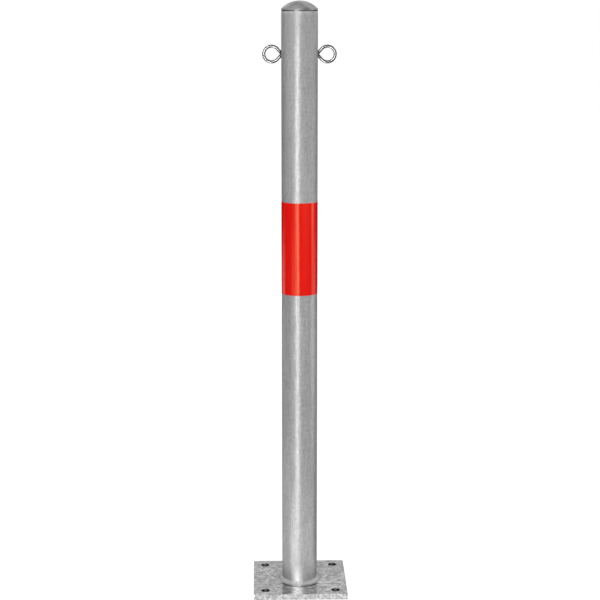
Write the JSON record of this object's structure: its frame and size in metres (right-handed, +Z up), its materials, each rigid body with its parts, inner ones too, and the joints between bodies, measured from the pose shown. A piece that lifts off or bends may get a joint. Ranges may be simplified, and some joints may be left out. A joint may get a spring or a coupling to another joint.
{
  "type": "bolt-down bollard",
  "caption": "Bolt-down bollard: round galvanised post on a square base plate, with a domed cap, a red band and a chain eye on each side.",
  "frame": {"origin": "centre of the base plate's underside, on the ground", "axes": "+Z up along the post, X through the two chain eyes, Y level and square to them, with the lap of the red band at +Y"},
  "size_m": [0.16, 0.16, 1],
  "materials": {
    "plate_zinc": "hot-dip galvanised, mottled and slightly brushed",
    "tube_zinc": "hot-dip galvanised, matt with a fine streaked grain",
    "weld_zinc": "galvanised weld, rippled",
    "cast_cap": "dull cast and turned",
    "red_film": "glossy film",
    "bar_zinc": "bright zinc, smooth"
  },
  "bodies": {
    "root": {"base_plate": "plate_zinc", "post_tube": "tube_zinc", "foot_weld": "weld_zinc", "top_cap": "cast_cap", "reflective_band": "red_film", "eye_left": "bar_zinc", "eye_right": "bar_zinc", "eye_weld_left": "weld_zinc", "eye_weld_right": "weld_zinc"}
  },
  "joints": []
}
